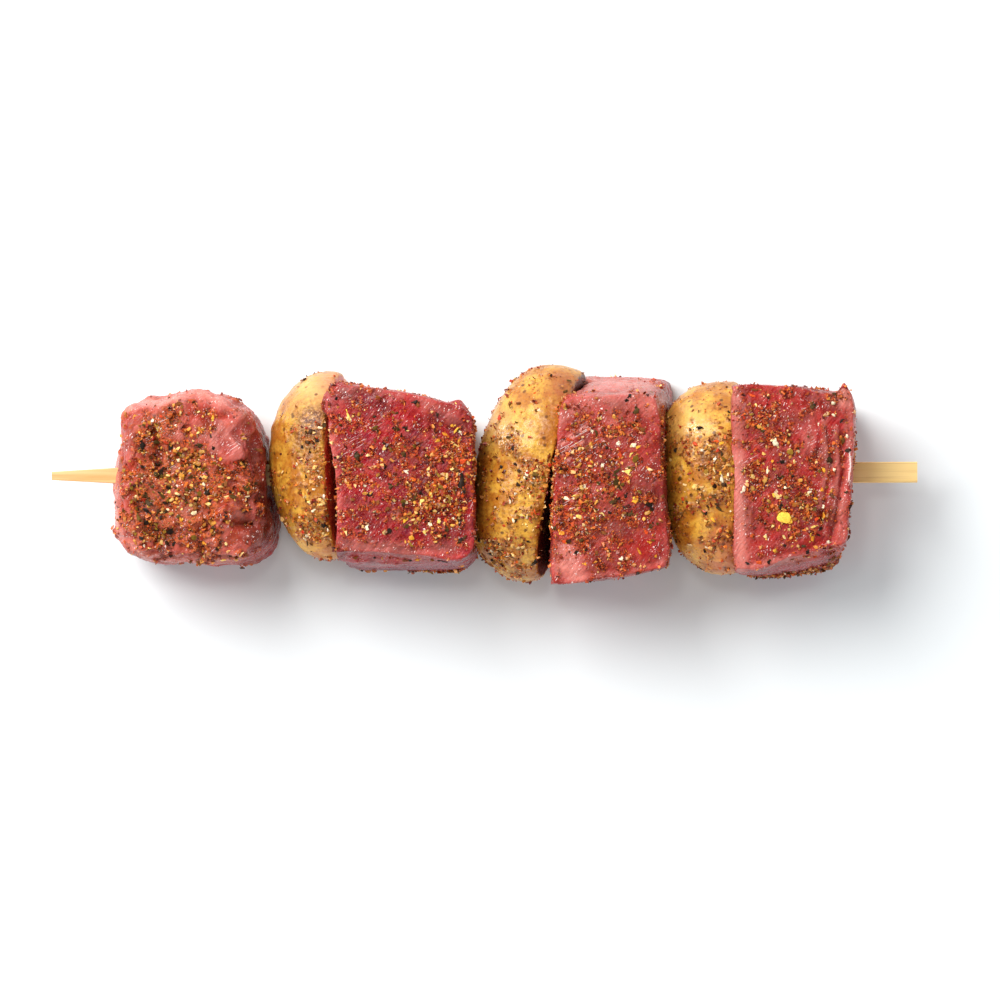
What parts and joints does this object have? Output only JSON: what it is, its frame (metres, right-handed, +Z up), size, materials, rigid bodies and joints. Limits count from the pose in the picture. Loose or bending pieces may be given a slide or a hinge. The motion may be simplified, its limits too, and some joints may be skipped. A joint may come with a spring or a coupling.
{
  "type": "beef kebab skewer",
  "caption": "Raw beef kebab: seasoned hand-cut beef chunks alternating with halved potatoes on a flat bamboo skewer, lying on its side.",
  "frame": {"origin": "centre of the whole kebab's footprint, on the surface that it lies on", "axes": "+X along the skewer from its narrow tip to its square butt, +Y across it, +Z up from the table"},
  "size_m": [0.2, 0.0508, 0.0366],
  "materials": {
    "raw_beef": "moist raw beef under a coarse paprika and pepper rub",
    "potato": "thin golden potato skin with freckles, pale moist flesh on the cut face",
    "bamboo": "bare split bamboo with fine lengthwise fibres",
    "spice_rub": "coarse dry grains of paprika, garlic, pepper and herbs"
  },
  "bodies": {
    "root": {"skewer": "bamboo", "beef_1": "raw_beef", "beef_2": "raw_beef", "beef_3": "raw_beef", "beef_4": "raw_beef", "potato_1": "potato", "potato_2": "potato", "potato_3": "potato"}
  },
  "joints": []
}
